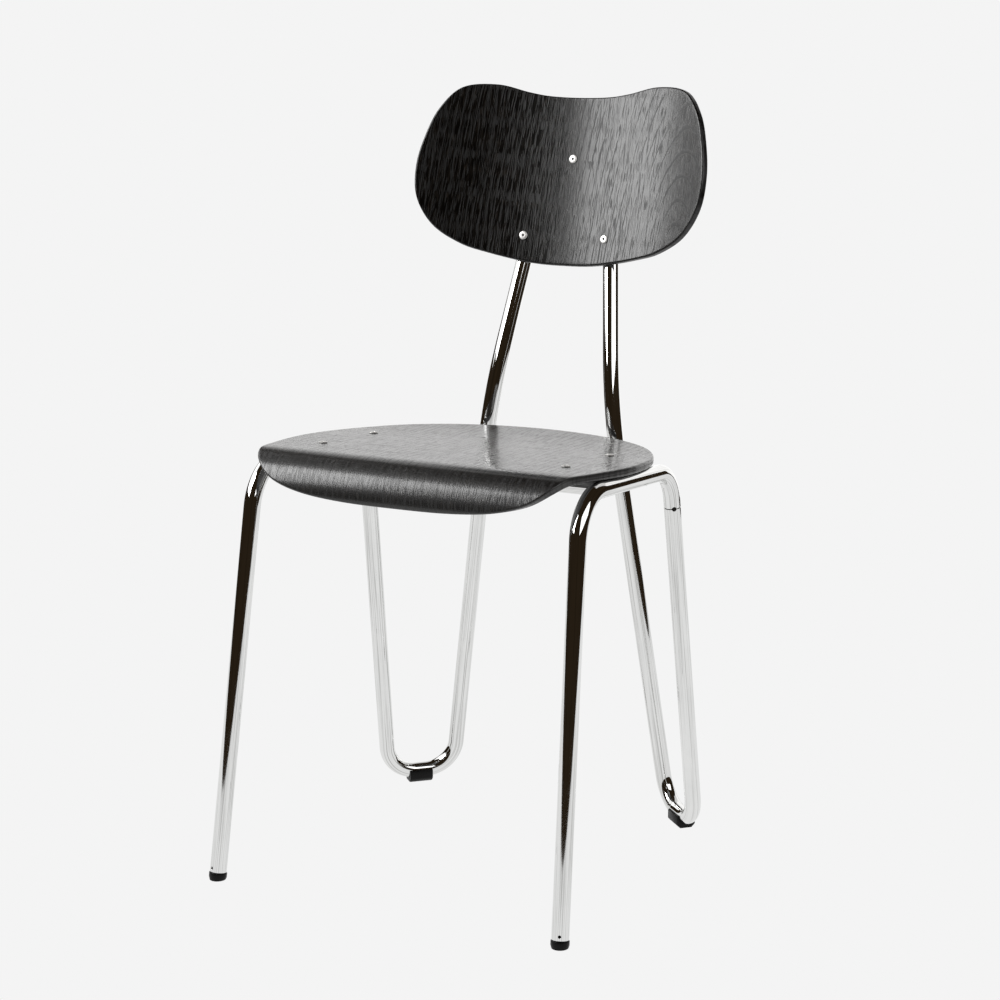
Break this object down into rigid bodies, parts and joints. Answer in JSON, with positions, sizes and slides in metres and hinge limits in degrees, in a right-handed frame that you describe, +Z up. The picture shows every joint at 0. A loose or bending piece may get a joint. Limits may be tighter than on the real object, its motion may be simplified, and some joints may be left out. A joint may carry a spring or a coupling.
{
  "type": "stacking chair",
  "caption": "Stacking chair with a chromed tube frame, hairpin rear legs, a plywood seat rolled down at the front and a curved plywood backrest on an arch.",
  "frame": {"origin": "On the floor, under the middle of the chair's bounding box", "axes": "+Z up, -Y towards the front of the seat, +X to the right of someone who stands in front of the chair and faces it"},
  "size_m": [0.4252, 0.4803, 0.8246],
  "materials": {
    "chrome": "mirror-bright plating",
    "black_ply": "black-stained open-pore veneer, satin lacquer",
    "black_plastic": "moulded, slightly glossy",
    "rivet_steel": "bright zinc plating",
    "dark_steel": "dark oiled"
  },
  "bodies": {
    "root": {"back_loop_tube": "chrome", "side_tube_left": "chrome", "side_tube_right": "chrome", "cross_tube_front": "chrome", "cross_tube_rear": "chrome", "joint_sleeve_left": "rivet_steel", "joint_sleeve_right": "rivet_steel", "joint_pin_left": "dark_steel", "joint_pin_right": "dark_steel", "front_foot_cap_left": "black_plastic", "front_foot_cap_right": "black_plastic", "rear_glide_left": "black_plastic", "rear_glide_right": "black_plastic", "seat_shell": "black_ply", "backrest_shell": "black_ply", "seat_rivet_front_left": "rivet_steel", "seat_rivet_front_left_mandrel": "dark_steel", "seat_rivet_front_right": "rivet_steel", "seat_rivet_front_right_mandrel": "dark_steel", "seat_rivet_rear_left": "rivet_steel", "seat_rivet_rear_left_mandrel": "dark_steel", "seat_rivet_rear_right": "rivet_steel", "seat_rivet_rear_right_mandrel": "dark_steel", "back_rivet_top": "rivet_steel", "back_rivet_top_mandrel": "dark_steel", "back_rivet_left": "rivet_steel", "back_rivet_left_mandrel": "dark_steel", "back_rivet_right": "rivet_steel", "back_rivet_right_mandrel": "dark_steel"}
  },
  "joints": []
}
